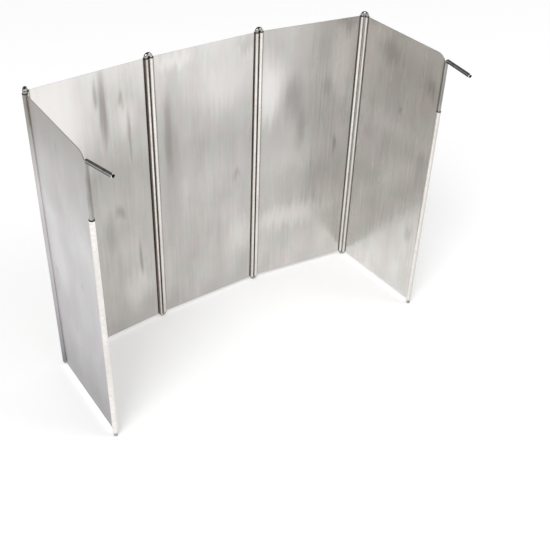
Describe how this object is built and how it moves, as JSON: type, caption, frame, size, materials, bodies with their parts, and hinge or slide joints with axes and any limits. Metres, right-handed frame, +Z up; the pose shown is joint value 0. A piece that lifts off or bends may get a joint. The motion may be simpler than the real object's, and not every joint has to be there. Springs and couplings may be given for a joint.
{
  "type": "folding stove windscreen",
  "caption": "Free-standing stainless steel windscreen for a camping stove: flat panels with rolled edges, joined by wire hinge loops, with a ground stake in each wing.",
  "frame": {"origin": "on the ground, in the middle of the area that the screen covers at rest", "axes": "+Z up, X along the back panels with the left wing at -X, the open side faces -Y"},
  "size_m": [0.3878, 0.1828, 0.3098],
  "materials": {
    "panel_steel": "cold-rolled stainless sheet, dull and streaked",
    "wire_steel": "drawn stainless wire, bright"
  },
  "bodies": {
    "back_centre": {"back_centre_panel": "panel_steel"},
    "inner_left_hinge_wire": {"inner_left_hinge_wire": "wire_steel"},
    "back_left": {"back_left_panel": "panel_steel"},
    "outer_left_hinge_wire": {"outer_left_hinge_wire": "wire_steel"},
    "left_wing": {"left_wing_panel": "panel_steel"},
    "left_stake": {"left_stake": "wire_steel"},
    "inner_right_hinge_wire": {"inner_right_hinge_wire": "wire_steel"},
    "back_right": {"back_right_panel": "panel_steel"},
    "outer_right_hinge_wire": {"outer_right_hinge_wire": "wire_steel"},
    "right_wing": {"right_wing_panel": "panel_steel"},
    "right_stake": {"right_stake": "wire_steel"}
  },
  "joints": [
    {"name": "inner_left_wire_turn", "type": "hinge", "parent": "back_centre", "child": "inner_left_hinge_wire", "pos_m": [-0.05615, 0.08889, 0], "axis": [0, 0, -1], "range_deg": [-88, 92]},
    {"name": "back_left_panel_turn", "type": "hinge", "parent": "inner_left_hinge_wire", "child": "back_left", "pos_m": [-0.06144, 0.08871, 0], "axis": [0, 0, -1], "range_deg": [-88, 92]},
    {"name": "outer_left_wire_turn", "type": "hinge", "parent": "back_left", "child": "outer_left_hinge_wire", "pos_m": [-0.18115, 0.08034, 0], "axis": [0, 0, 1], "range_deg": [-143.5, 36.5]},
    {"name": "left_wing_turn", "type": "hinge", "parent": "outer_left_hinge_wire", "child": "left_wing", "pos_m": [-0.184, 0.07587, 0], "axis": [0, 0, 1], "range_deg": [-119, 61]},
    {"name": "left_stake_push", "type": "slide", "parent": "left_wing", "child": "left_stake", "axis": [0, 0, 1], "range_m": [-0.0503, 0]},
    {"name": "inner_right_wire_turn", "type": "hinge", "parent": "back_centre", "child": "inner_right_hinge_wire", "pos_m": [0.06385, 0.08889, 0], "axis": [0, 0, -1], "range_deg": [-94.15, 85.85]},
    {"name": "back_right_panel_turn", "type": "hinge", "parent": "inner_right_hinge_wire", "child": "back_right", "pos_m": [0.06914, 0.08851, 0], "axis": [0, 0, -1], "range_deg": [-94.15, 85.85]},
    {"name": "outer_right_wire_turn", "type": "hinge", "parent": "back_right", "child": "outer_right_hinge_wire", "pos_m": [0.18788, 0.07119, 0], "axis": [0, 0, 1], "range_deg": [-48.85, 131.15]},
    {"name": "right_wing_turn", "type": "hinge", "parent": "outer_right_hinge_wire", "child": "right_wing", "pos_m": [0.19133, 0.06716, 0], "axis": [0, 0, 1], "range_deg": [-48.85, 131.15]},
    {"name": "right_stake_push", "type": "slide", "parent": "right_wing", "child": "right_stake", "axis": [0, 0, 1], "range_m": [-0.0503, 0]}
  ]
}
